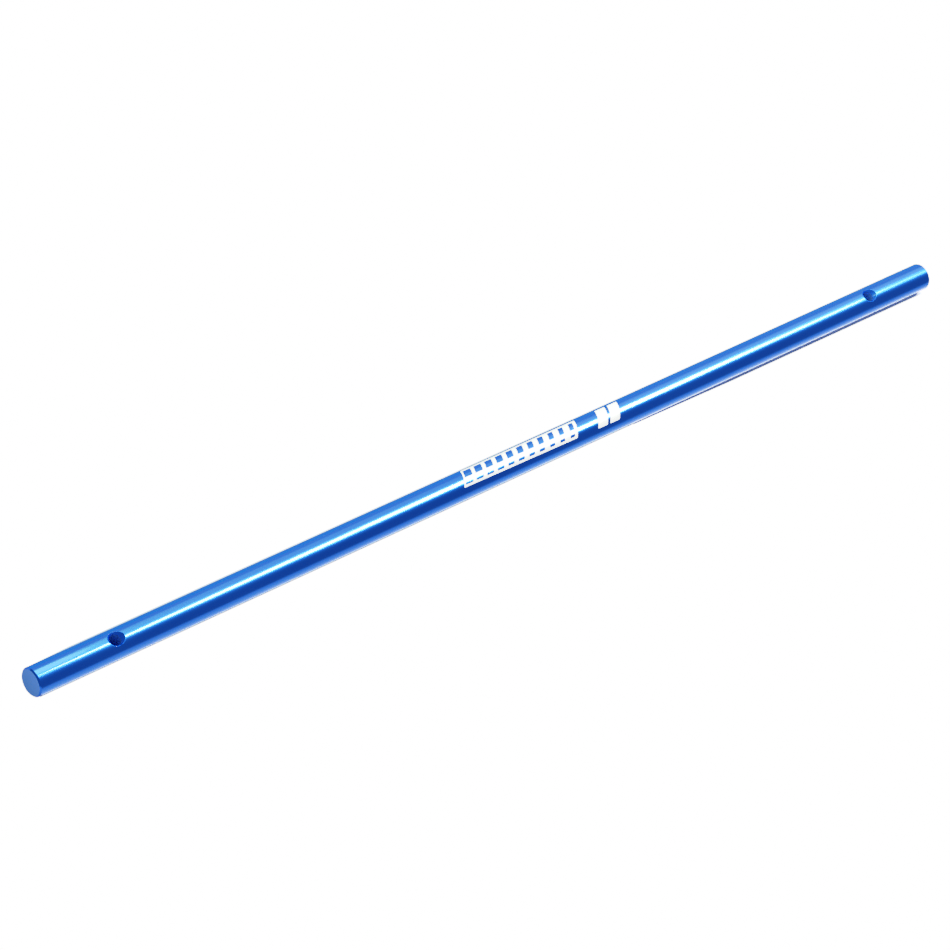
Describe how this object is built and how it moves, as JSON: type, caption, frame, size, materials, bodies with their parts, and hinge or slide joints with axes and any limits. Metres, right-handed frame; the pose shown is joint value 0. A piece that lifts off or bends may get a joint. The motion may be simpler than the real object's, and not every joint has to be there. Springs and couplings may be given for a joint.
{
  "type": "propeller shaft",
  "caption": "Straight solid anodised drive shaft for a model car, with a countersunk cross-pin hole near each end and a plain printed mark.",
  "frame": {"origin": "middle of the bar, on its axis", "axes": "+X along the bar, +Z along both cross-pin holes towards the printed side"},
  "size_m": [0.21, 0.005, 0.005],
  "materials": {
    "blue_anodised_aluminium": "drawn and polished, then anodised blue, glossy satin",
    "white_ink": "opaque white pad-printing ink, semi-gloss"
  },
  "bodies": {
    "root": {"shaft": "blue_anodised_aluminium", "printed_rail": "white_ink", "printed_blocks": "white_ink"}
  },
  "joints": []
}
